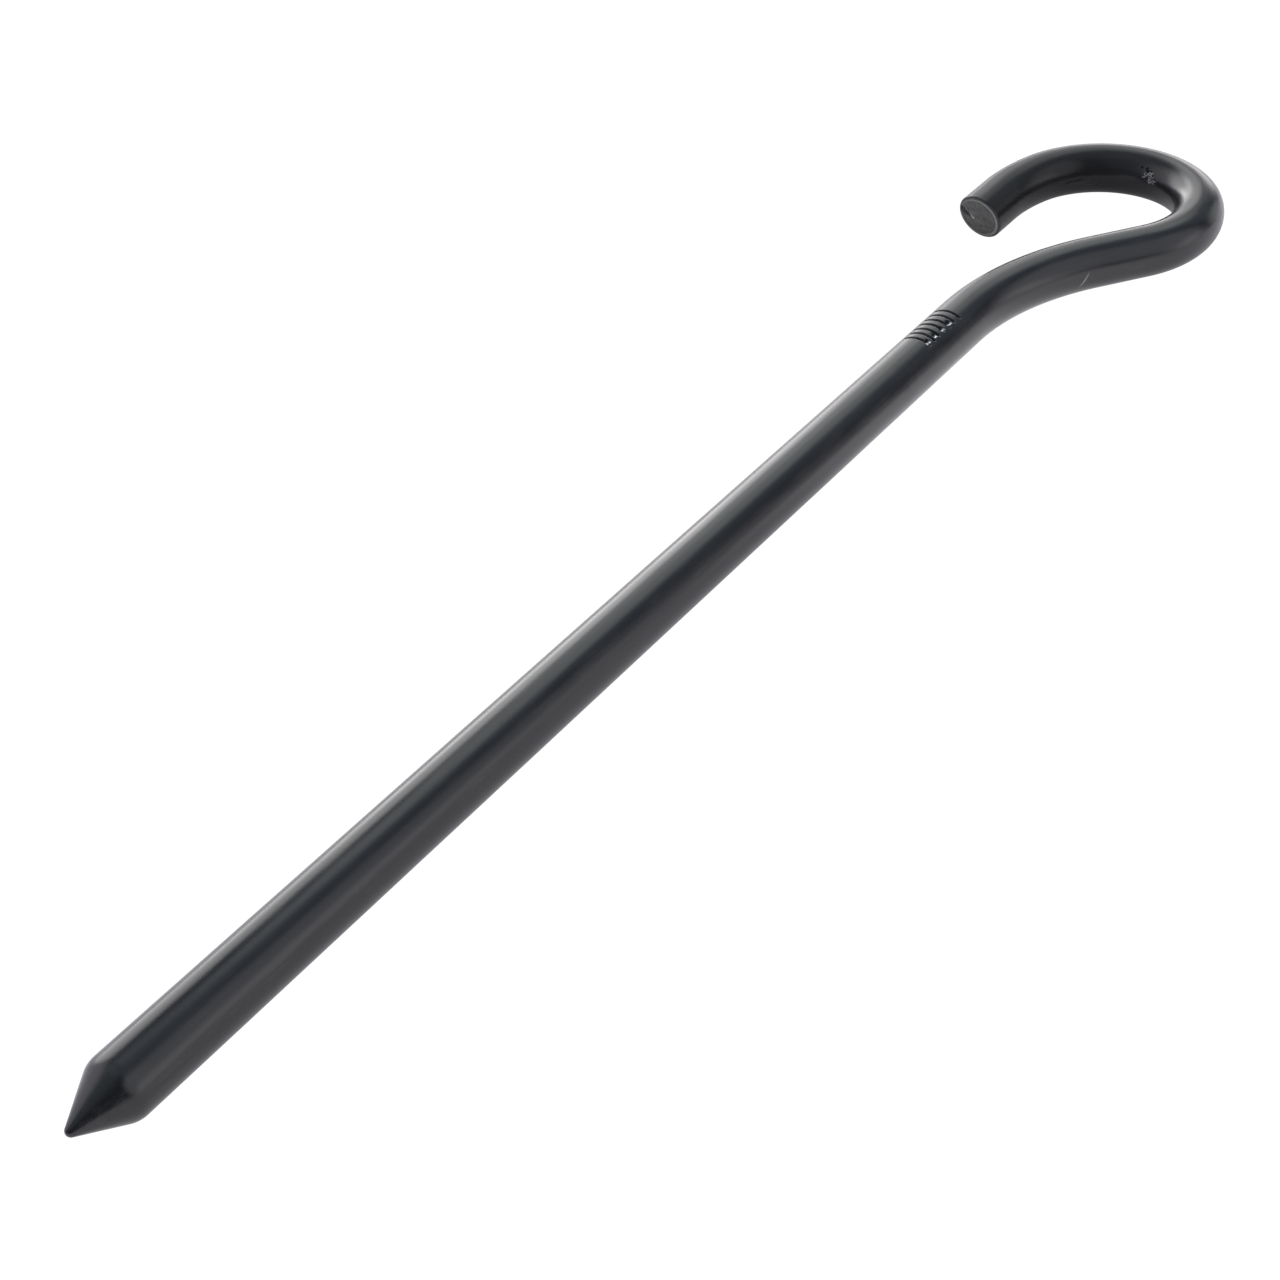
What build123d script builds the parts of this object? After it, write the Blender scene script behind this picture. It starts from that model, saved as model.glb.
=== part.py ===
from build123d import *

import math
import os

# A forged tent stake: one round steel bar with a cone-shaped point, a long straight shank,
# an S-shaped neck and an open hook that curls back over the neck. The bar lies on its side,
# so its whole centreline is in one level plane. Along the shank +X runs from the point to the
# hook, +Y is the side that the hook's tail is on, and +Z is up. The origin is on the ground,
# under the middle of the bar's bounding box. Sizes are in millimetres and degrees.

# Driving dimensions: the bar
BAR_DIAMETER = 10.0
OVERALL_LENGTH = 300.0  # from the point to the far side of the hook

# Driving dimensions: the point
POINT_LENGTH = 8.0  # from the tip to where the cone, drawn on, meets the full bar
TIP_RADIUS = 0.9  # the tip is a small dome
SHOULDER_RADIUS = 4.5  # the round blend from the cone into the shank

# Driving dimensions: the neck and the hook, bent round tools, so radii are inside radii
NECK_INSIDE_RADIUS = 47.0
NECK_ANGLE = 38.0  # how far the neck turns away from the shank's line
NECK_RUN = 11.0  # the straight between the neck's bend and the hook
EYE_DIAMETER = 28.0  # the clear round inside the hook
TAIL_INSIDE_RADIUS = 30.0
TAIL_ANGLE = 20.0  # the last, slacker part of the hook's turn
TAIL_RUN = 8.5  # the straight at the hook's open end, parallel to the shank

# Driving dimensions: the sheared end of the tail
SHEAR_LEAN_TOP = 16.0  # the cut leans, with its top standing out
SHEAR_LEAN_SIDE = 8.5  # and with the side towards the shank standing out
SHEAR_EDGE = 0.4  # the rolled edge left by the shear

# Driving dimensions: a plain row of strokes struck across the top of the shank
STROKE_COUNT = 7
STROKE_PITCH = 1.85
STROKE_WIDTH = 0.7
STROKE_DEPTH = 0.3
STROKE_ARC = 58.0  # how far each stroke reaches round the bar
STROKE_LEAN = 2.0  # how far the row sits off the top, towards the tail's side
STROKES_TO_NECK = 5.6  # from the middle of the last stroke to the neck's bend

# Sizes that follow
BAR_RADIUS = BAR_DIAMETER / 2
NECK_RADIUS = NECK_INSIDE_RADIUS + BAR_RADIUS
HOOK_RADIUS = (EYE_DIAMETER + BAR_DIAMETER) / 2
HOOK_ANGLE = 180 + NECK_ANGLE - TAIL_ANGLE  # brings the tail round parallel to the shank
TAIL_RADIUS = TAIL_INSIDE_RADIUS + BAR_RADIUS


def sine(degrees):
    return math.sin(math.radians(degrees))


def cosine(degrees):
    return math.cos(math.radians(degrees))


def along(heading, dip=0):
    """The direction of a heading, pointing below the level by the dip."""
    return Vector(cosine(dip) * cosine(heading), cosine(dip) * sine(heading), -sine(dip))


def across(centre, heading):
    """The plane across the bar at a point of its centreline, facing along the heading."""
    return Plane(origin=centre, x_dir=(0, 0, 1), z_dir=along(heading))


def straight(centre, heading, length):
    """A straight stretch of bar, and the centreline point where it ends."""
    solid = extrude(across(centre, heading) * Circle(BAR_RADIUS), length)
    return solid, centre + along(heading) * length


def bend(centre, heading, radius, turn):
    """A bend of the bar, to the left where turn is above zero, and where and how it ends."""
    side = math.copysign(1, turn)
    pivot = centre + along(heading + 90 * side) * radius
    hinge = Axis(pivot, (0, 0, side))
    solid = revolve(across(centre, heading) * Circle(BAR_RADIUS), hinge, abs(turn))
    return solid, pivot + (centre - pivot).rotate(Axis.Z, turn), heading + turn


def pointed_shank(length):
    """The point and the shank, turned about the X axis, with the tip at the start of the axis."""
    # The cone's side is the line from the shoulder's corner that touches the tip's dome.
    dome_to_corner = math.hypot(POINT_LENGTH - TIP_RADIUS, BAR_RADIUS)
    cone_angle = math.degrees(
        math.acos(TIP_RADIUS / dome_to_corner)
        - math.atan2(POINT_LENGTH - TIP_RADIUS, BAR_RADIUS)
    )
    shoulder_end = POINT_LENGTH + SHOULDER_RADIUS * math.tan(math.radians(cone_angle / 2))
    dome = CenterArc((TIP_RADIUS, 0), TIP_RADIUS, 90 + cone_angle, 90 - cone_angle)
    shoulder = CenterArc(
        (shoulder_end, BAR_RADIUS - SHOULDER_RADIUS), SHOULDER_RADIUS, 90, cone_angle
    )
    outline = [
        dome,
        Line(dome @ 0, shoulder @ 1),
        shoulder,
        Polyline(shoulder @ 0, (length, BAR_RADIUS), (length, 0), (0, 0)),
    ]
    return revolve(make_face(outline), Axis.X)


def sheared_tail(centre, heading):
    """The straight tail, cut through at its end by a leaning shear, with the edge rolled over."""
    blank, _ = straight(centre, heading, TAIL_RUN + BAR_DIAMETER)
    end = centre + along(heading) * TAIL_RUN
    cut = Plane(origin=end, z_dir=along(heading - SHEAR_LEAN_SIDE, SHEAR_LEAN_TOP))
    tail = split(blank, cut, Keep.BOTTOM)
    rim = tail.faces().sort_by_distance(end)[0].edges()
    return fillet(rim, SHEAR_EDGE)


def strokes(last):
    """The cutters of the struck row: each is part of a ring, as deep all the way round."""
    section = Pos(last, BAR_RADIUS) * Rectangle(STROKE_WIDTH, 2 * STROKE_DEPTH)
    start = 90 - STROKE_LEAN - STROKE_ARC / 2
    cutter = Rot(start, 0, 0) * revolve(section, Axis.X, STROKE_ARC)
    return [Pos(-i * STROKE_PITCH, 0, 0) * cutter for i in range(STROKE_COUNT)]


def stake_bar():
    """The whole bar, built along its centreline from the point to the sheared end."""
    hook_reach = (
        NECK_RADIUS * sine(NECK_ANGLE)
        + NECK_RUN * cosine(NECK_ANGLE)
        + HOOK_RADIUS * (sine(NECK_ANGLE) + 1)
        + BAR_RADIUS
    )
    shank_length = OVERALL_LENGTH - hook_reach
    shank = pointed_shank(shank_length)
    neck, place, heading = bend(Vector(shank_length, 0, 0), 0, NECK_RADIUS, -NECK_ANGLE)
    neck_run, place = straight(place, heading, NECK_RUN)
    hook, place, heading = bend(place, heading, HOOK_RADIUS, HOOK_ANGLE)
    slack, place, heading = bend(place, heading, TAIL_RADIUS, TAIL_ANGLE)
    tail = sheared_tail(place, heading)
    bar = shank + [neck, neck_run, hook, slack, tail]
    bar -= strokes(shank_length - STROKES_TO_NECK)
    middle = bar.bounding_box().center()
    return Pos(-middle.X, -middle.Y, BAR_RADIUS) * bar


os.makedirs("parts", exist_ok=True)
bar = stake_bar()
bar.label = "stake_bar"
export_step(bar, "parts/stake_bar.step")
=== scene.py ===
import math
from types import SimpleNamespace

import bpy
import numpy as np
from mathutils import Matrix, Vector


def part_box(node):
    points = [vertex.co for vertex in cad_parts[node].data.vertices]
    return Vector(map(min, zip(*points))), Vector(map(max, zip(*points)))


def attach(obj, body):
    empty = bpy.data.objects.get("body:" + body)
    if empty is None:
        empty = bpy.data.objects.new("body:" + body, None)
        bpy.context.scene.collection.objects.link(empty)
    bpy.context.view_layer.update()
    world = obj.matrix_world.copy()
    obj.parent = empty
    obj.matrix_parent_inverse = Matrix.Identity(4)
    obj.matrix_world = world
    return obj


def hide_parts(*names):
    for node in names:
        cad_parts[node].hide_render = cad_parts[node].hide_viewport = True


# The looks of a black coated steel tent stake: one bar, so one piece. The bar's skin is a grid
# of rings set along its centreline, shaped in millimetres and then placed in the CAD's frame
# in metres. A point on the skin is named by its distance from the tip along the centreline and
# its angle round the bar: 0 is the left of somebody walking from the tip, 90 is the top.

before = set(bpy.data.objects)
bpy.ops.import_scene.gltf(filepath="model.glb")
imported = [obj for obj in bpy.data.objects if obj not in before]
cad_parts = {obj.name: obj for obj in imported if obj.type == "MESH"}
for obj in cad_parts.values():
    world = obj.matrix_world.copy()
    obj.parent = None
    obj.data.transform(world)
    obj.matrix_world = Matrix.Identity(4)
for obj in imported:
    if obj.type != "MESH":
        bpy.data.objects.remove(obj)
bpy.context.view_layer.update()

# The bar, as in the CAD, in millimetres and degrees
BAR_RADIUS = 5.0
LENGTH = 300.0
POINT_LENGTH = 8.0
TIP_RADIUS = 0.9
SHOULDER_RADIUS = 4.5
NECK_RADIUS = 52.0
NECK_ANGLE = 38.0
NECK_RUN = 11.0
HOOK_RADIUS = 19.0
TAIL_RADIUS = 35.0
TAIL_ANGLE = 20.0
HOOK_ANGLE = 180.0 + NECK_ANGLE - TAIL_ANGLE
TAIL_RUN = 8.5
SHEAR_LEAN_TOP = 16.0
SHEAR_LEAN_SIDE = 8.5
SHEAR_EDGE = 0.4
SKIN_INSET = 0.03  # the skin lies this far inside the CAD's, so that raised lips stay in the box

# The struck row of strokes across the top of the shank
STROKE_COUNT = 7
STROKE_PITCH = 1.85
STROKE_MIDDLE = 88.0
STROKE_ARC = 58.0
STROKES_TO_NECK = 5.6
STROKE_DEPTH = 0.3
STROKE_FLAT = 0.16  # half the width of its bottom
STROKE_EDGE = 0.38  # half its width at the top
STROKE_LIP = 0.04

# Deeper dents under the row, each with a ramp up to the skin at its lower end
DENT_COUNT = 4
DENT_PITCH = 2.57
DENTS_TO_NECK = 8.6
DENT_TOP = 102.0
DENT_RAMP = 110.5
DENT_END = 117.0
DENT_DEPTH = 0.42

# The sheared face: torn grain, a raised line round it and a small nub in its middle
TEAR_HEIGHT = 0.09
GRAIN_HEIGHT = 0.05
LINE_HEIGHT = 0.13
NUB_HEIGHT = 0.10
NUB_DIMPLE = 0.08
TEAR_WAY = (0.9, 0.43)  # the direction that the tears run in: to the left, and up

# The shear's gouge in that face, from its edge inwards
GOUGE_START = 165.0
GOUGE_HEADING = -34.0
GOUGE_LENGTH = 3.6
GOUGE_WIDTH = 0.95
GOUGE_DEPTH = 0.62

# Scratches: each end's distance along and angle round, width, depth, lip, and what shows in it.
# The nick is on the neck's outer side: a painted highlight along it, drawn as bright metal, and
# a painted shadow line beside it. The wrinkles are on the inside of the hook, and the last one
# holds painted shade in its crease.
NICK = (
    ((252.5, 202.0), (254.4, 171.0), 0.17, 0.10, 0.04, ("painted_highlight", 0.5)),
    # painted shadow beside the nick
    ((252.2, 203.0), (254.1, 172.0), 0.16, 0.06, 0.00, ("hollow_shade", 0.8)),
)
WRINKLES = (
    ((321.5, -22.0), (327.5, -8.0), 0.35, 0.05, 0.03, ("rubbed", 0.25)),
    ((323.0, -4.0), (328.5, -20.0), 0.30, 0.05, 0.03, ("rubbed", 0.25)),
    ((326.0, 6.0), (329.5, -12.0), 0.35, 0.06, 0.03, ("rubbed", 0.3)),
    # painted shade in this wrinkle's crease
    ((325.0, 2.0), (331.0, -4.0), 0.25, 0.04, 0.02, ("hollow_shade", 0.5)),
)

# The pits inside the hook lie in a band that slants round the bar as it goes along
PIT_COUNT = 42
PITS_ALONG = 306.9
PITS_ROUND = 27
BAND_ALONG = 1.8  # from the band's middle to its end, along the bar
BAND_ROUND = 13  # and round it
PIT_REACH = (0.15, 0.26)
PIT_DEPTH = (0.10, 0.18)

# Faint waves all over the skin: height and size, long waves and short ones
LONG_WAVES = (0.006, 5.0)
SHORT_WAVES = (0.002, 1.6)

# The grid: points in a ring, and rings from one distance to the next, so far apart. The rings
# are closer together at the strokes, the nick, the pits and the wrinkles.
RING_POINTS = 120
SEAM = -90.0  # the first point of each ring is at the bottom
RING_SPANS = (
    (200.0, 206.0, 0.5),
    (206.0, 219.2, 0.11),
    (219.2, 252.0, 0.6),
    (252.0, 255.0, 0.15),
    (255.0, 268.0, 0.6),
    (268.0, 301.0, 0.45),
    (301.0, 312.0, 0.13),
    (312.0, 320.0, 0.45),
    (320.0, 330.0, 0.25),
)
SHANK_STEP = 1.5
TAIL_STEP = 0.45
DOME_STEPS = 8
CONE_STEPS = 17
SHOULDER_STEPS = 11
EDGE_STEPS = 6

# The sheared face's rings, as shares of its radius: closer together at the raised line
FACE_RINGS = np.concatenate([[0.985, 0.965, 0.94, 0.915, 0.89], np.linspace(0.86, 0.04, 21)])

# How a ring's points crowd together: distance along, how much denser, and at which angle
CROWDING = (
    (0, 0, 84),
    (195, 0, 84),
    (204, 2.6, 84),
    (223, 2.6, 84),
    (236, 0, 84),
    (236.01, 0, 187),
    (250, 2.4, 187),
    (257, 2.4, 187),
    (268, 0, 187),
    (268.01, 0, 17),
    (298, 2.0, 17),
    (314, 2.0, 17),
    (322, 1.5, -8),
    (330, 1.5, -8),
    (342, 0, -8),
)
CROWD_REACH = 36  # how far round the bar the crowding spreads, in degrees

MM_PER_DEGREE = BAR_RADIUS * math.radians(1)
MM_PER_METRE = 1000


def sine(degrees):
    return math.sin(math.radians(degrees))


def cosine(degrees):
    return math.cos(math.radians(degrees))


def smooth(low, high, value):
    """0 below low, 1 above high, and an even slope between."""
    t = np.clip((value - low) / (high - low), 0, 1)
    return t * t * (3 - 2 * t)


SHANK_LENGTH = (
    LENGTH
    - NECK_RADIUS * sine(NECK_ANGLE)
    - NECK_RUN * cosine(NECK_ANGLE)
    - HOOK_RADIUS * (sine(NECK_ANGLE) + 1)
    - BAR_RADIUS
)
STRETCHES = (
    (SHANK_LENGTH, 0.0),
    (NECK_RADIUS * math.radians(NECK_ANGLE), -NECK_ANGLE),
    (NECK_RUN, 0.0),
    (HOOK_RADIUS * math.radians(HOOK_ANGLE), HOOK_ANGLE),
    (TAIL_RADIUS * math.radians(TAIL_ANGLE), TAIL_ANGLE),
    (TAIL_RUN, 0.0),
)
BAR_END = sum(length for length, turn in STRETCHES)


def centreline(along):
    """The centreline's points and headings at these distances, with the tip at (0, 0)."""
    x = np.zeros_like(along)
    y = np.zeros_like(along)
    heading = np.zeros_like(along)
    start, at_x, at_y, facing = 0.0, 0.0, 0.0, 0.0
    for length, turn in STRETCHES:
        here = along >= start
        gone = along[here] - start
        if turn == 0:
            angle = np.full_like(gone, facing)
            x[here] = at_x + gone * math.cos(facing)
            y[here] = at_y + gone * math.sin(facing)
            at_x += length * math.cos(facing)
            at_y += length * math.sin(facing)
        else:
            radius = length / math.radians(turn)
            angle = facing + gone / radius
            x[here] = at_x + radius * (np.sin(angle) - math.sin(facing))
            y[here] = at_y + radius * (math.cos(facing) - np.cos(angle))
            after = facing + math.radians(turn)
            at_x += radius * (math.sin(after) - math.sin(facing))
            at_y += radius * (math.cos(facing) - math.cos(after))
            facing = after
        heading[here] = angle
        start += length
    return x, y, heading


# ---------------------------------------------------------------- noise, the same on each run


def lumps(points, size, seed):
    """Smooth noise from -1 to 1 at 3-D points, with lumps of about this size."""
    count = 32
    table = np.random.default_rng(seed).uniform(-1, 1, (count, count, count))
    cell = points / size
    low = np.floor(cell).astype(int)
    part = cell - low
    part = part * part * (3 - 2 * part)
    total = np.zeros(len(points))
    for corner in range(8):
        step = np.array([corner & 1, corner >> 1 & 1, corner >> 2 & 1])
        weight = np.prod(np.where(step == 1, part, 1 - part), axis=1)
        at = (low + step) % count
        total += weight * table[at[:, 0], at[:, 1], at[:, 2]]
    return total


# ---------------------------------------------------------------- the marks on the skin


def round_by(angle, middle):
    """The signed way round the bar from the middle to each angle, in degrees."""
    return (angle - middle + 180) % 360 - 180


def groove(distance, flat, edge, depth, lip):
    """How far a groove moves the skin out, by distance from its spine: a dip with a lip."""
    dip = -depth * (1 - smooth(flat, edge, distance))
    raised = lip * np.exp(-(((distance - edge - 0.08) / 0.09) ** 2))
    return dip + raised


class Skin:
    """What the marks do to each point of the skin, as each mark is added."""

    def __init__(self, along, angle):
        self.along = along
        self.angle = angle
        self.out = np.zeros_like(along)
        self.rubbed = np.zeros_like(along)  # coating rubbed thin
        self.painted_highlight = np.zeros_like(along)  # painted highlight, drawn as bright metal
        self.hollow_shade = np.zeros_like(along)  # dull inside a mark, with painted shade there

    def show(self, mask, values):
        """Shows a mark in one of the masks, wherever nothing stronger is there already."""
        setattr(self, mask, np.maximum(getattr(self, mask), np.clip(values, 0, 1)))


def strokes(skin):
    """Seven short strokes struck across the top."""
    last = SHANK_LENGTH - STROKES_TO_NECK
    rng = np.random.default_rng(7)
    for i in range(STROKE_COUNT):
        middle = last - i * STROKE_PITCH + rng.uniform(-0.06, 0.06)
        way = round_by(skin.angle, STROKE_MIDDLE + rng.uniform(-1.5, 1.5))
        past_end = np.maximum(np.abs(way) - STROKE_ARC / 2, 0) * MM_PER_DEGREE
        distance = np.hypot(skin.along - middle, past_end)
        depth = STROKE_DEPTH * rng.uniform(0.85, 1.1)
        skin.out += groove(distance, STROKE_FLAT, STROKE_EDGE, depth, STROKE_LIP)
        # painted shade in the groove
        skin.show("hollow_shade", 1 - smooth(STROKE_FLAT, 0.36, distance))
        skin.show("rubbed", 0.3 * np.exp(-(((distance - 0.44) / 0.12) ** 2)))


def dents(skin):
    """Deeper dents along the foot of the row, with painted shade in the pocket of each and a
    painted highlight, drawn as bright metal, on its ramp.
    """
    last = SHANK_LENGTH - DENTS_TO_NECK
    for i in range(DENT_COUNT):
        across = np.abs(skin.along - last + i * DENT_PITCH)
        way = round_by(skin.angle, 90) + 90
        half = 0.18 + 0.3 * smooth(DENT_TOP, DENT_RAMP + 3, way)
        inside = 1 - smooth(half, half + 0.14, across)
        depth = smooth(DENT_TOP, DENT_TOP + 4, way)
        depth = depth * np.clip((DENT_END - way) / (DENT_END - DENT_RAMP), 0, 1)
        skin.out = np.minimum(skin.out, -DENT_DEPTH * depth * inside)
        ramp = smooth(DENT_RAMP - 0.5, DENT_RAMP + 1.5, way)
        ramp = ramp * (1 - smooth(DENT_END - 1, DENT_END, way))
        pocket = smooth(DENT_TOP + 1, DENT_TOP + 4, way)
        pocket = pocket * (1 - smooth(DENT_RAMP - 1, DENT_RAMP, way))
        # painted highlight on the ramp, drawn as bright metal, and painted shade in the pocket
        skin.hollow_shade *= 1 - ramp * inside
        skin.show("painted_highlight", ramp * inside)
        skin.show("hollow_shade", pocket * inside)


def scratch(skin, start, end, width, depth, lip, shine):
    """A straight scratch between two places, each (distance along, angle round). Its shine is
    the mask that it shows in, and how strongly: rubbed coating, a painted highlight or painted
    shade."""
    a = np.array([start[0], 0.0])
    b = np.array([end[0], (end[1] - start[1]) * MM_PER_DEGREE])
    way = round_by(skin.angle, start[1]) * MM_PER_DEGREE
    line = b - a
    share = ((skin.along - a[0]) * line[0] + way * line[1]) / (line @ line)
    nearest = np.clip(share, 0, 1)
    distance = np.hypot(skin.along - a[0] - nearest * line[0], way - nearest * line[1])
    taper = 1 - 0.7 * np.abs(2 * nearest - 1) ** 2
    side = (skin.along - a[0]) * line[1] - way * line[0] > 0
    raised = lip * taper * np.exp(-(((distance - width) / (0.6 * width)) ** 2)) * side
    skin.out += raised - depth * taper * (1 - smooth(0, width, distance))
    skin.show(shine[0], shine[1] * np.exp(-((distance / (0.75 * width)) ** 2)) * taper)


def pits(skin):
    """A cluster of small pits with raised rims on the inside of the hook, in a slanting band, with
    painted shade inside each pit and a painted highlight on one side of every other rim.
    """
    rng = np.random.default_rng(21)
    for i in range(PIT_COUNT):
        share = np.clip(rng.normal(0, 0.5), -1, 1)
        middle = PITS_ALONG + BAND_ALONG * share + rng.normal(0, 0.8)
        turned = PITS_ROUND + BAND_ROUND * share + rng.normal(0, 5)
        reach = rng.uniform(*PIT_REACH)
        depth = rng.uniform(*PIT_DEPTH)
        way = round_by(skin.angle, turned) * MM_PER_DEGREE
        distance = np.hypot((skin.along - middle) * 0.85, way)
        skin.out -= depth * np.exp(-((distance / reach) ** 2))
        rim = np.exp(-(((distance - 1.5 * reach) / (0.45 * reach)) ** 2))
        skin.out += 0.3 * depth * rim
        # painted shade inside the pit, and a painted highlight, drawn as bright metal, on one side
        # of its rim
        skin.show("hollow_shade", np.exp(-((distance / reach) ** 4)))
        skin.show("painted_highlight", 0.5 * rim * (way < 0) * (i % 2 == 0))


def marks(skin, straight):
    """All the marks, and the waves that the bar was drawn with."""
    strokes(skin)
    dents(skin)
    for mark in NICK + WRINKLES:
        scratch(skin, *mark)
    pits(skin)
    stretched = straight * np.array([0.35, 1, 1])
    long_height, long_size = LONG_WAVES
    short_height, short_size = SHORT_WAVES
    long_waves = long_height * lumps(stretched, long_size, 3)
    skin.out += long_waves + short_height * lumps(straight, short_size, 4)


# ---------------------------------------------------------------- the skin


def evenly(low, high, step):
    """Distances from low up to, but not at, high, about one step apart."""
    return np.linspace(low, high, max(1, round((high - low) / step)), endpoint=False)


def point_outline():
    """The point's outline: distance along and radius of each ring, from the tip's dome on."""
    reach = POINT_LENGTH - TIP_RADIUS
    to_corner = math.hypot(reach, BAR_RADIUS)
    cone = math.acos(TIP_RADIUS / to_corner) - math.atan2(reach, BAR_RADIUS)
    shoulder_end = POINT_LENGTH + SHOULDER_RADIUS * math.tan(cone / 2)
    turns = np.linspace(0, math.pi / 2 - cone, DOME_STEPS + 1)[1:]
    dome = [(TIP_RADIUS * (1 - math.cos(t)), TIP_RADIUS * math.sin(t)) for t in turns]
    turns = np.linspace(cone, 0, SHOULDER_STEPS + 1)
    shoulder = [
        (
            shoulder_end - SHOULDER_RADIUS * math.sin(t),
            BAR_RADIUS - SHOULDER_RADIUS * (1 - math.cos(t)),
        )
        for t in turns
    ]
    low, high = np.array(dome[-1]), np.array(shoulder[0])
    shares = np.linspace(0, 1, CONE_STEPS + 1)[1:-1]
    side = [tuple(low + (high - low) * t) for t in shares]
    return np.array(dome + side + shoulder)


def rings():
    """Distance along, radius and lean of each ring. The lean turns the last rings with the cut."""
    point = point_outline()
    edge = BAR_END - SHEAR_EDGE
    shank = (point[-1, 0] + 0.5, RING_SPANS[0][0], SHANK_STEP)
    tail = (RING_SPANS[-1][1], edge, TAIL_STEP)
    body = np.concatenate([evenly(*span) for span in (shank, *RING_SPANS, tail)])
    turns = np.linspace(0, math.pi / 2, EDGE_STEPS + 1)
    rolled = edge + SHEAR_EDGE * np.sin(turns)
    along = np.concatenate([point[:, 0], body, rolled])
    radius = np.full_like(along, BAR_RADIUS)
    radius[: len(point)] = point[:, 1]
    radius[-len(turns) :] = BAR_RADIUS - SHEAR_EDGE * (1 - np.cos(turns))
    lean = smooth(BAR_END - 6, edge, along)
    return along, radius, lean


def ring_angles(along):
    """Each ring's angles, closer together round the marks at that distance along."""
    stops, crowd, middle = zip(*CROWDING)
    more = np.interp(along, stops, crowd)[:, None]
    at = np.interp(along, stops, middle)[:, None]
    fine = np.linspace(SEAM, SEAM + 360, 721)
    density = 1 + more * np.exp(-((round_by(fine[None, :], at) / CROWD_REACH) ** 2))
    total = np.cumsum((density[:, 1:] + density[:, :-1]) / 2, axis=1)
    total = np.hstack([np.zeros((len(along), 1)), total])
    share = np.arange(RING_POINTS) / RING_POINTS
    return np.array([np.interp(share * row[-1], row, fine) for row in total])


def cut_normal():
    """The sheared face's outward direction: along the bar, to the left, and up."""
    level = cosine(SHEAR_LEAN_TOP)
    return level * cosine(SHEAR_LEAN_SIDE), -level * sine(SHEAR_LEAN_SIDE), -sine(SHEAR_LEAN_TOP)


def torn_relief(left, up, share):
    """The sheared face's height where the gouge isn't: tears and grain, the line and the nub."""
    flat = np.column_stack([left.ravel(), up.ravel(), np.zeros(left.size)])
    tear_left, tear_up = TEAR_WAY
    turned = np.column_stack(
        [flat @ (tear_left, tear_up, 0), flat @ (-tear_up, tear_left, 0), flat[:, 2]]
    )
    tears = lumps(turned * (0.35, 1.5, 1), 0.8, 11)
    grain = lumps(flat, 0.45, 12)
    height = TEAR_HEIGHT * tears + GRAIN_HEIGHT * grain
    height = height.reshape(left.shape)
    line = smooth(0.87, 0.915, share) * (1 - smooth(0.94, 0.985, share))
    height *= 1 - smooth(0.86, 0.9, share)
    height += LINE_HEIGHT * line
    nub = NUB_HEIGHT * np.exp(-((share / 0.28) ** 2))
    height += nub - NUB_DIMPLE * np.exp(-((share / 0.1) ** 2))
    return height, line


def cut_face(angles):
    """Rings of the sheared face from the rolled edge in: angle, radius, height and painted
    highlight.
    """
    outer = BAR_RADIUS - SHEAR_EDGE
    radius = (FACE_RINGS * outer)[:, None] * np.ones(len(angles))
    angle = np.ones((len(FACE_RINGS), 1)) * angles[None, :]
    left = radius * np.cos(np.radians(angle))
    up = radius * np.sin(np.radians(angle))
    height, line = torn_relief(left, up, radius / outer)
    run = (left - outer * cosine(GOUGE_START)) * cosine(GOUGE_HEADING)
    run += (up - outer * sine(GOUGE_START)) * sine(GOUGE_HEADING)
    across = (up - outer * sine(GOUGE_START)) * cosine(GOUGE_HEADING)
    across -= (left - outer * cosine(GOUGE_START)) * sine(GOUGE_HEADING)
    width = GOUGE_WIDTH * (1 - 0.75 * smooth(0, GOUGE_LENGTH, run))
    wedge = np.clip(1 - np.abs(across) / width, 0, 1)
    height -= GOUGE_DEPTH * wedge * (1 - smooth(0.4 * GOUGE_LENGTH, GOUGE_LENGTH, run))
    # painted highlight, drawn as bright metal: faint on the raised line and strongest towards one
    # side of it, and on one flank of the gouge
    lit = 0.3 * line * (0.55 + 0.45 * np.cos(np.radians(angle - 15)))
    flank = np.minimum(2 * wedge, 1) * (across > 0) * (run < GOUGE_LENGTH)
    lit += 0.7 * flank * smooth(0.15, 0.5, run / GOUGE_LENGTH)
    return angle, radius, height, lit


def bent(along, angle, radius, lean, lift):
    """Where points of the bar lie once it is bent, and where they lay before."""
    left = radius * np.cos(np.radians(angle))
    up = radius * np.sin(np.radians(angle))
    n_along, n_left, n_up = cut_normal()
    forward = -lean * (n_left * left + n_up * up) / n_along + lift
    x, y, heading = centreline(along)
    place = np.column_stack(
        [
            x + forward * np.cos(heading) - left * np.sin(heading),
            y + forward * np.sin(heading) + left * np.cos(heading),
            BAR_RADIUS + up,
        ]
    )
    return place, np.column_stack([along + forward, left, up])


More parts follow.
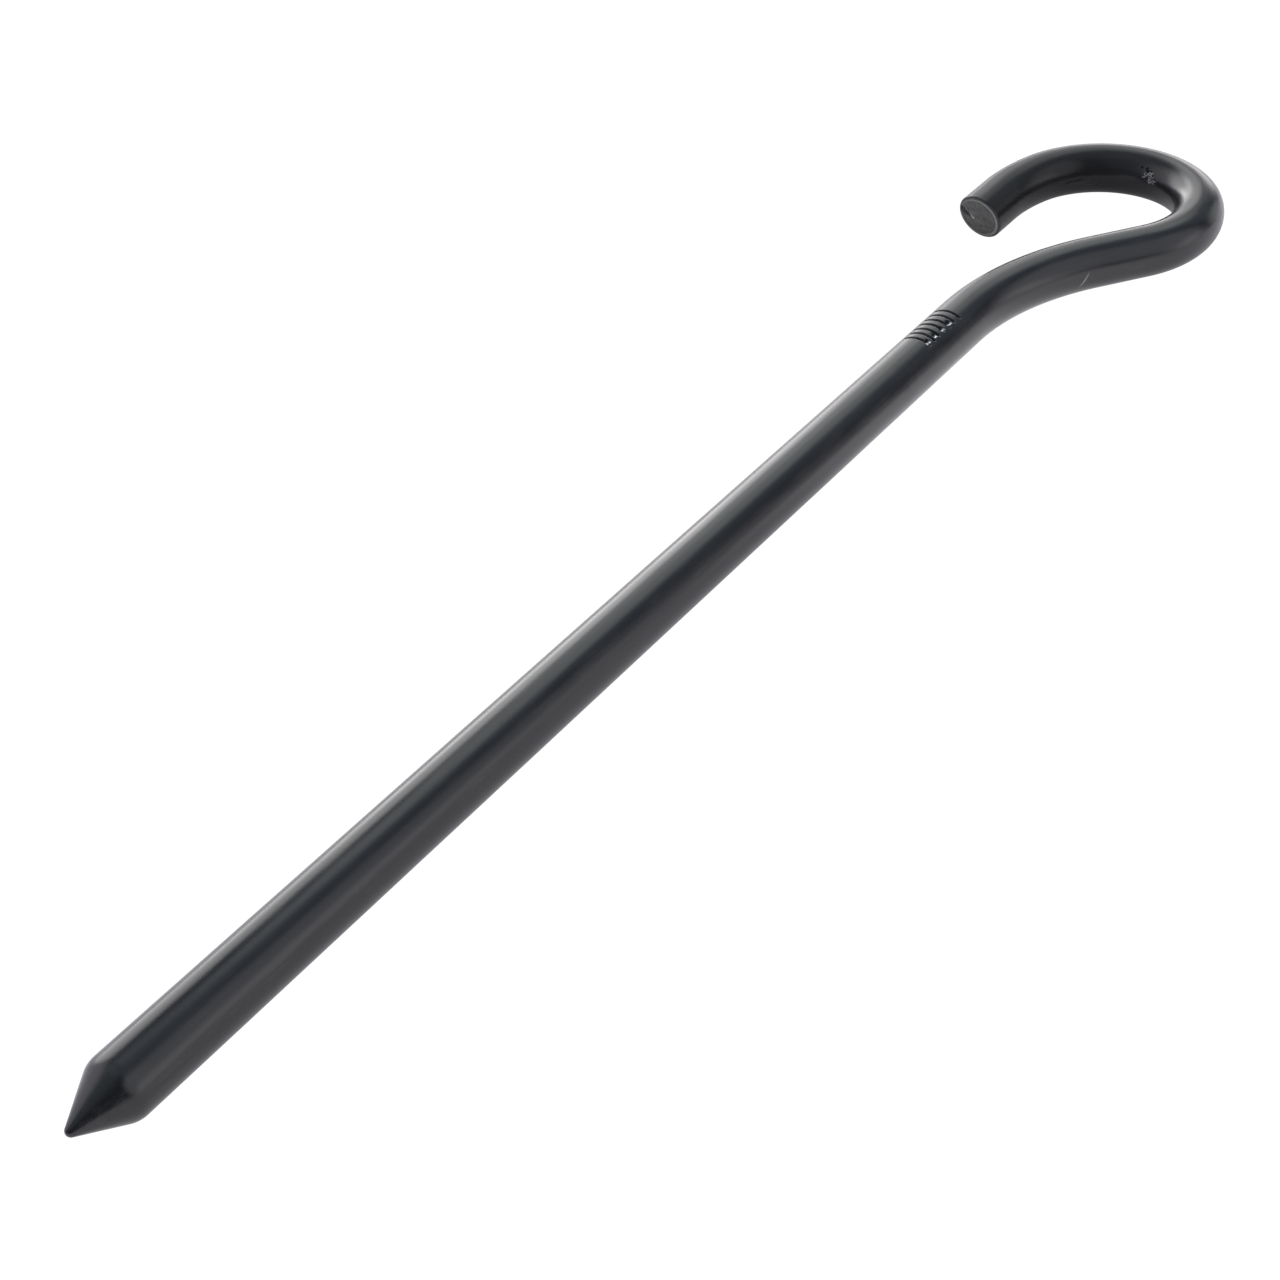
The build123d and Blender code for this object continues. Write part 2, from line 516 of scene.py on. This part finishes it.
def shape_bar():
    """The bar's points in millimetres with the tip at the origin, its faces and its masks."""
    ring_along, ring_radius, ring_lean = rings()
    angles = ring_angles(ring_along)
    along = np.repeat(ring_along, RING_POINTS)
    angle = angles.ravel()
    radius = np.repeat(ring_radius, RING_POINTS)
    turn = np.radians(angle)
    straight = np.column_stack([along, radius * np.cos(turn), radius * np.sin(turn)])
    skin = Skin(along, angle)
    marks(skin, straight)
    # the coating is rubbed on the rolled edge, and the very tip keeps its plain shape
    skin.show("rubbed", 0.35 * smooth(BAR_END - 0.35, BAR_END - 0.1, along))
    radius = radius - SKIN_INSET + skin.out * smooth(0.0, 2.0, along)
    # the sheared face follows on from the last ring
    face_angle, face_radius, height, lit = cut_face(angles[-1])
    on_body = np.zeros(along.size)
    on_face = np.ones(face_angle.size)
    along = np.concatenate([along, BAR_END * on_face])
    angle = np.concatenate([angle, face_angle.ravel()])
    radius = np.concatenate([radius, face_radius.ravel() - SKIN_INSET])
    lift = np.concatenate([on_body, height.ravel()])
    lean = np.concatenate([np.repeat(ring_lean, RING_POINTS), on_face])
    place, straight = bent(along, angle, radius, lean, lift)
    masks = {
        "rubbed": np.concatenate([skin.rubbed, 0 * on_face]),
        "painted_highlight": np.concatenate([skin.painted_highlight, lit.ravel()]),
        "hollow_shade": np.concatenate([skin.hollow_shade, 0 * on_face]),
        "cut": np.concatenate([on_body, on_face]),
    }
    # the two ends close on one point each
    tip = np.array([[0.0, 0.0, BAR_RADIUS]])
    middle = place[-RING_POINTS:].mean(axis=0)[None, :]
    place = np.vstack([place, tip, middle])
    straight = np.vstack([straight, [[0.0, 0.0, 0.0]], [[BAR_END, 0.0, 0.0]]])
    for name, values in masks.items():
        masks[name] = np.append(values, [0.0, 1.0 if name == "cut" else 0.0])
    return place, skin_faces(len(ring_along) + len(face_radius)), straight, masks


def skin_faces(ring_count):
    """Four-sided faces between rings, and a fan at each end."""
    faces = []
    for ring in range(ring_count - 1):
        for i in range(RING_POINTS):
            j = (i + 1) % RING_POINTS
            low, high = ring * RING_POINTS, (ring + 1) * RING_POINTS
            faces.append((low + i, low + j, high + j, high + i))
    tip = ring_count * RING_POINTS
    last = tip - RING_POINTS
    for i in range(RING_POINTS):
        j = (i + 1) % RING_POINTS
        faces.append((tip, j, i))
        faces.append((tip + 1, last + i, last + j))
    return faces


def make_bar():
    """The bar as one piece, placed so that its hook lies where the CAD's does."""
    place, faces, straight, masks = shape_bar()
    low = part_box("stake_bar")[0]
    hook_bottom = (
        -NECK_RADIUS * (1 - cosine(NECK_ANGLE))
        - NECK_RUN * sine(NECK_ANGLE)
        + HOOK_RADIUS * cosine(NECK_ANGLE)
        - HOOK_RADIUS
        - BAR_RADIUS
    )
    start = np.array([low.x, low.y - hook_bottom / MM_PER_METRE, low.z])
    points = place / MM_PER_METRE + start
    mesh = bpy.data.meshes.new("forged_bar")
    mesh.from_pydata(points.tolist(), [], faces)
    mesh.validate()
    mesh.polygons.foreach_set("use_smooth", [True] * len(mesh.polygons))
    unbent = mesh.attributes.new("unbent", "FLOAT_VECTOR", "POINT")
    straight = straight / MM_PER_METRE
    unbent.data.foreach_set("vector", straight.astype(np.float32).ravel())
    for name, values in masks.items():
        layer = mesh.attributes.new(name, "FLOAT", "POINT")
        layer.data.foreach_set("value", values.astype(np.float32))
    mesh.update()
    bar = bpy.data.objects.new("forged_bar", mesh)
    bpy.context.scene.collection.objects.link(bar)
    return bar


# ---------------------------------------------------------------- materials


class Nodes:
    """A short way to add nodes to a tree and join them. A value is a socket or a constant."""

    def __init__(self, tree):
        self.tree = tree
        tree.nodes.clear()

    def give(self, socket, value):
        """Links a socket to another one, or sets it to a constant."""
        if isinstance(value, bpy.types.NodeSocket):
            self.tree.links.new(value, socket)
        else:
            socket.default_value = value

    def add(self, kind, settings=None, **values):
        """A node with these settings, and with these values on the sockets of those names."""
        node = self.tree.nodes.new(kind)
        for name, value in (settings or {}).items():
            setattr(node, name, value)
        for name, value in values.items():
            self.give(node.inputs[name.replace("_", " ")], value)
        return node

    def noise(self, place, scale, detail, rough=0.55):
        """Noise from about 0 to 1. A larger scale makes it finer."""
        values = {"Vector": place, "Scale": scale, "Detail": detail, "Roughness": rough}
        return self.add("ShaderNodeTexNoise", **values).outputs["Fac"]

    def vector(self, operation, a, b, output="Vector"):
        """One step of arithmetic on vectors."""
        node = self.add("ShaderNodeVectorMath", {"operation": operation})
        self.give(node.inputs[0], a)
        self.give(node.inputs[1], b)
        return node.outputs[output]

    def remap(self, value, low, high, to_low, to_high):
        """A smooth step from to_low at low, to to_high at high."""
        node = self.add("ShaderNodeMapRange", {"interpolation_type": "SMOOTHSTEP"}, Value=value)
        node.inputs["From Min"].default_value = low
        node.inputs["From Max"].default_value = high
        node.inputs["To Min"].default_value = to_low
        node.inputs["To Max"].default_value = to_high
        return node.outputs["Result"]

    def math(self, operation, a, b):
        """One step of arithmetic on numbers."""
        node = self.add("ShaderNodeMath", {"operation": operation})
        self.give(node.inputs[0], a)
        self.give(node.inputs[1], b)
        return node.outputs["Value"]

    def mix(self, share, a, b):
        """A mix of two colours. The node has a socket of each name for each kind of data."""
        node = self.add("ShaderNodeMix", {"data_type": "RGBA"})
        for name, value in (("Factor", share), ("A", a), ("B", b)):
            self.give(next(s for s in node.inputs if s.name == name and s.enabled), value)
        return next(s for s in node.outputs if s.type == "RGBA")


def new_material(name):
    """An empty material, and its nodes."""
    material = bpy.data.materials.new(name)
    material.use_nodes = True
    return material, Nodes(material.node_tree)


# The coating's colours: clean, dusty, dull on the tail (part of its painted shade), rubbed
# thin, and painted shade inside a mark
COAT_DARK = (0.0088, 0.0093, 0.0112, 1)
COAT_DUSTY = (0.021, 0.0205, 0.0215, 1)
COAT_TAIL_SHADE = (0.022, 0.0215, 0.0225, 1)
COAT_RUBBED = (0.085, 0.086, 0.088, 1)
COAT_HOLLOW_SHADE = (0.004, 0.004, 0.0045, 1)
# the bright metal that painted highlights are drawn in
HIGHLIGHT_METAL = (0.62, 0.62, 0.63, 1)
CUT_COLOUR = (0.060, 0.062, 0.057, 1)

# The coating's patterns: noise scales, and how far two of them are drawn out along the bar
CLOUD_SCALE = 260
STREAK_SCALE = 1500
SPECK_SCALE = 5200
PEEL_SCALE = 1900
CLOUD_STRETCH = (0.35, 1, 1)
STREAK_STRETCH = (0.05, 1, 1)

# The coating's roughness, and what the streaks and the marks add to it
ROUGH_LEAST = 0.19
ROUGH_MOST = 0.24
STREAK_ROUGH = 0.04
WORN_ROUGH = 0.08
CUT_ROUGH = 0.10
HOLLOW_ROUGH = 0.25

# The specular level, what the marks' insides take off it, and the least that is left
SHINE = 0.5
HOLLOW_DULLING = 0.4
SHINE_LEAST = 0.08

# Painted shade on the tail of the hook: its coating is made duller and greyer so that it comes
# out darker, in place of less light falling there. Where that starts and is full, in metres from
# the tip, what it takes off the specular level, and its share of the dull colour
TAIL_SHADE_FROM = 0.292
TAIL_SHADE_TO = 0.310
TAIL_SHADE_DULLING = 0.26
TAIL_SHADE_COLOURING = 0.8

RELIEF_DEPTH = 0.000009  # of the fine relief, in metres
CUT_RELIEF = 5.0  # how many times as much the sheared face adds to it


def coat_inputs(n):
    """The masks and patterns of the coating, laid on the bar as it was before it was bent."""
    place = n.add("ShaderNodeAttribute", {"attribute_name": "unbent"}).outputs["Vector"]
    along = n.add("ShaderNodeSeparateXYZ", Vector=place).outputs["X"]
    on = SimpleNamespace()
    for name in ("rubbed", "painted_highlight", "hollow_shade", "cut"):
        mask = n.add("ShaderNodeAttribute", {"attribute_name": name})
        setattr(on, name, mask.outputs["Fac"])
    # where the tail's painted shade lies
    on.tail = n.remap(along, TAIL_SHADE_FROM, TAIL_SHADE_TO, 0, 1)
    on.clouds = n.noise(n.vector("MULTIPLY", place, CLOUD_STRETCH), CLOUD_SCALE, 3)
    on.streaks = n.noise(n.vector("MULTIPLY", place, STREAK_STRETCH), STREAK_SCALE, 4, 0.6)
    on.specks = n.noise(place, SPECK_SCALE, 2)
    on.peel = n.noise(place, PEEL_SCALE, 2, 0.5)
    on.worn = n.math("MULTIPLY", on.rubbed, n.remap(on.specks, 0.3, 0.6, 0.6, 1.0))
    return on


def coat_colour(n, on):
    """Near black, dusty where clouds and streaks meet, and changed by wear. Painted shade lies on
    the tail and inside the marks, and painted highlights are drawn as bright metal.
    """
    dusty_streaks = n.remap(on.streaks, 0.4, 0.7, 0, 1)
    dusty = n.math("MULTIPLY", n.remap(on.clouds, 0.42, 0.68, 0, 1), dusty_streaks)
    torn = n.math("MULTIPLY", on.cut, n.remap(on.specks, 0.35, 0.65, 0.7, 1))
    colour = n.mix(dusty, COAT_DARK, COAT_DUSTY)
    # painted shade on the tail: a greyer, duller colour
    colour = n.mix(n.math("MULTIPLY", on.tail, TAIL_SHADE_COLOURING), colour, COAT_TAIL_SHADE)
    colour = n.mix(torn, colour, CUT_COLOUR)
    colour = n.mix(on.worn, colour, COAT_RUBBED)
    # painted shade inside the marks
    colour = n.mix(on.hollow_shade, colour, COAT_HOLLOW_SHADE)
    # painted highlights, drawn as bright metal
    return n.mix(on.painted_highlight, colour, HIGHLIGHT_METAL)


def coat_roughness(n, on):
    """Satin, with clouds and streaks, and rougher where it is worn, cut or inside a mark."""
    rough = n.remap(on.clouds, 0.3, 0.7, ROUGH_LEAST, ROUGH_MOST)
    rough = n.math("ADD", rough, n.remap(on.streaks, 0.3, 0.7, 0, STREAK_ROUGH))
    for mask, more in ((on.worn, WORN_ROUGH), (on.cut, CUT_ROUGH), (on.hollow_shade, HOLLOW_ROUGH)):
        rough = n.math("ADD", rough, n.math("MULTIPLY", mask, more))
    return rough


def coat_shine(n, on):
    """The specular level, which is less inside the marks, and on the tail as part of its painted
    shade.
    """
    shine = n.math("SUBTRACT", SHINE, n.math("MULTIPLY", on.hollow_shade, HOLLOW_DULLING))
    shine = n.math("SUBTRACT", shine, n.math("MULTIPLY", on.tail, TAIL_SHADE_DULLING))
    return n.math("MAXIMUM", shine, SHINE_LEAST)


def coat_relief(n, on):
    """The fine relief: peel, specks and streaks, much deeper on the sheared face."""
    fine = n.math("ADD", n.math("MULTIPLY", on.peel, 0.7), n.math("MULTIPLY", on.specks, 0.3))
    fine = n.math("ADD", fine, n.math("MULTIPLY", on.streaks, 0.35))
    deeper = n.math("ADD", n.math("MULTIPLY", on.cut, CUT_RELIEF), 1.0)
    fine = n.math("MULTIPLY", fine, deeper)
    bump = n.add("ShaderNodeBump", Height=fine, Strength=1.0, Distance=RELIEF_DEPTH)
    return bump.outputs["Normal"]


def coated_steel():
    """Black coating over drawn steel: satin, faintly streaked and mottled, thin on edges."""
    material, n = new_material("black_coating")
    on = coat_inputs(n)
    shader = n.add(
        "ShaderNodeBsdfPrincipled",
        Base_Color=coat_colour(n, on),
        Roughness=coat_roughness(n, on),
        # metal only where painted highlights are drawn
        Metallic=on.painted_highlight,
        IOR=1.5,
        Specular_IOR_Level=coat_shine(n, on),
        Normal=coat_relief(n, on),
    )
    n.add("ShaderNodeOutputMaterial", Surface=shader.outputs["BSDF"])
    return material


# The table top glows evenly, apart from a brighter pool beside the neck and a dimmer patch
# inside the hook. Each is full up to one distance from its middle and gone at another. Places
# and distances are in metres, and back is from the hook's far side towards the point.
FLOOR_COLOUR = (0.76, 0.73, 0.75, 1)
FLOOR_GLOW_COLOUR = (1, 0.96, 0.985, 1)
FLOOR_GLOW = 0.50
NECK_POOL = 0.45  # how much brighter the table is in the pool
POOL_BACK = 0.080
POOL_OUT = 0.006  # past the hook's outermost side
POOL_FULL = 0.020
POOL_END = 0.070
HOOK_SHADE = 0.22  # how much dimmer it is inside the hook
SHADE_BACK = 0.024
SHADE_FULL = 0.018
SHADE_END = 0.034

WHITE = (1.05, 1.05, 1.05, 1)  # a little over 1, so that the ground comes out a full white


def pale_floor():
    """A pale table top that glows, more beside the neck and less inside the hook."""
    material, n = new_material("pale_floor")
    low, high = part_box("stake_bar")
    place = n.add("ShaderNodeTexCoord").outputs["Object"]
    pool_middle = (high.x - POOL_BACK, low.y - POOL_OUT, low.z)
    shade_middle = (high.x - SHADE_BACK, 0.0, low.z)
    beside_neck = n.vector("DISTANCE", place, pool_middle, "Value")
    in_hook = n.vector("DISTANCE", place, shade_middle, "Value")
    pool = n.remap(beside_neck, POOL_FULL, POOL_END, NECK_POOL, 0)
    shade = n.remap(in_hook, SHADE_FULL, SHADE_END, HOOK_SHADE, 0)
    shader = n.add(
        "ShaderNodeBsdfPrincipled",
        Base_Color=FLOOR_COLOUR,
        Roughness=0.9,
        Specular_IOR_Level=0.0,
        Emission_Color=FLOOR_GLOW_COLOUR,
        Emission_Strength=n.math("SUBTRACT", n.math("ADD", pool, FLOOR_GLOW), shade),
    )
    n.add("ShaderNodeOutputMaterial", Surface=shader.outputs["BSDF"])
    return material


def plain_white():
    """The plain white that the camera sees round the stake."""
    material, n = new_material("plain_white")
    glow = n.add("ShaderNodeEmission", Color=WHITE, Strength=1.0)
    n.add("ShaderNodeOutputMaterial", Surface=glow.outputs["Emission"])
    return material


# ---------------------------------------------------------------- the studio

ROOM_RADIUS = 4.0  # in metres, like the rest of the room
ROOM_CORNERS = 96
WALL_HEIGHT = 5.0


def staged(name, points, faces, material):
    """An object that isn't part of the stake."""
    mesh = bpy.data.meshes.new(name)
    mesh.from_pydata(points, [], faces)
    mesh.materials.append(material)
    thing = bpy.data.objects.new(name, mesh)
    bpy.context.scene.collection.objects.link(thing)
    return thing


def make_room():
    """A pale table top that lights the stake from below, and the white round it."""
    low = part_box("stake_bar")[0]
    count = ROOM_CORNERS
    turns = [2 * math.pi * i / count for i in range(count)]
    edge = [(ROOM_RADIUS * math.cos(t), ROOM_RADIUS * math.sin(t), low.z) for t in turns]
    ground = tuple(range(count))
    table = staged("table_top", edge, [ground], pale_floor())
    table.visible_camera = False
    # the camera sees this sheet and wall in place of the table and its shadows
    top = [(x, y, z + WALL_HEIGHT) for x, y, z in edge]
    sides = [(i, (i + 1) % count, count + (i + 1) % count, count + i) for i in range(count)]
    white = staged("white_sheet", edge + top, [ground] + sides, plain_white())
    white.visible_diffuse = False
    white.visible_glossy = False
    white.visible_transmission = False
    white.visible_shadow = False


def toward(azimuth, elevation):
    """A direction: azimuth from +X towards +Y, elevation above the level."""
    return (
        cosine(elevation) * cosine(azimuth),
        cosine(elevation) * sine(azimuth),
        sine(elevation),
    )


# Soft patches of light from far away: azimuth, elevation, the angle from its middle up to which
# each is full, the angle where it ends, and its colour. The near side is the camera's, at -Y.
PATCHES = (
    (64, 17, 17, 29, (2.50, 2.50, 2.50)),  # the main light, low on the far side
    (37, 29, 6, 20, (2.00, 2.00, 2.00)),  # between it and the hook's end
    (15, 49, 6, 21, (1.50, 1.55, 1.50)),  # high beyond the hook
    (17, 2, 9, 20, (3.00, 2.90, 2.95)),  # level, beyond the hook
    (52, -3, 9, 24, (2.70, 2.60, 2.55)),  # just under the level, below the main light
    (105, 22, 14, 44, (1.20, 1.15, 1.25)),  # wide, nearly square to the shank on the far side
    (150, 50, 10, 50, (0.33, 0.37, 0.40)),  # wide and faint, over the point's end
    (-17, 34, 6, 19, (0.28, 0.33, 0.38)),  # faint, above the next one
    (-21, 8, 6, 17, (0.85, 0.88, 0.85)),  # low beyond the hook, on the near side
    (-62, 0, 4, 28, (0.95, 0.90, 0.95)),  # level, on the near side
    (-80, 30, 22, 38, (0.99, 0.99, 1.04)),  # wide, nearly square to the shank on the near side
    (5, 75, 8, 42, (0.38, 0.44, 0.52)),  # wide and bluish, nearly overhead
)
AMBIENT = (0.080, 0.093, 0.110)


def make_world():
    """The room: a dim surround with soft patches of light."""
    world = bpy.data.worlds.new("studio")
    world.use_nodes = True
    bpy.context.scene.world = world
    n = Nodes(world.node_tree)
    way = n.add("ShaderNodeTexCoord").outputs["Generated"]
    total = AMBIENT
    for azimuth, elevation, full, end, colour in PATCHES:
        facing = n.vector("DOT_PRODUCT", way, toward(azimuth, elevation), "Value")
        share = n.remap(facing, cosine(end), cosine(full), 0, 1)
        patch = n.add("ShaderNodeVectorMath", {"operation": "SCALE"}, Scale=share)
        patch.inputs[0].default_value = colour
        total = n.vector("ADD", patch.outputs["Vector"], total)
    light = n.add("ShaderNodeBackground", Color=total, Strength=1.0)
    n.add("ShaderNodeOutputWorld", Surface=light.outputs["Background"])


# The camera: metres, degrees, and millimetres for the lens and its sensor
AIM = (-0.03528, -0.00153, 0.00007)  # from the middle of the stake's box
CAMERA_DISTANCE = 0.32454
CAMERA_AZIMUTH = -141.126
CAMERA_ELEVATION = 37.983
CAMERA_ROLL = -5.291
LENS = 59.27
SENSOR_WIDTH = 36.0


def make_camera():
    """The camera, above and beyond the point, out on the near side, rolled a few degrees."""
    low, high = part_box("stake_bar")
    target = (low + high) / 2 + Vector(AIM)
    back = Vector(toward(CAMERA_AZIMUTH, CAMERA_ELEVATION))
    level = Vector((0, 0, 1)).cross(back).normalized()
    upright = back.cross(level)
    right = level * cosine(CAMERA_ROLL) + upright * sine(CAMERA_ROLL)
    up = back.cross(right)
    data = bpy.data.cameras.new("camera")
    data.sensor_width = SENSOR_WIDTH
    data.lens = LENS
    data.clip_start = 0.01
    data.clip_end = 50
    camera = bpy.data.objects.new("camera", data)
    bpy.context.scene.collection.objects.link(camera)
    turn = Matrix((right, up, back)).transposed().to_4x4()
    camera.matrix_world = Matrix.Translation(target + back * CAMERA_DISTANCE) @ turn
    bpy.context.scene.camera = camera


def main():
    """The stake, with what carries it and what it replaces, and then the studio."""
    bar = make_bar()
    bar.data.materials.append(coated_steel())
    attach(bar, "root")
    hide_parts("stake_bar")
    make_room()
    make_world()
    make_camera()
    bpy.context.scene.view_settings.view_transform = "Standard"
    bpy.context.scene.view_settings.look = "None"


main()
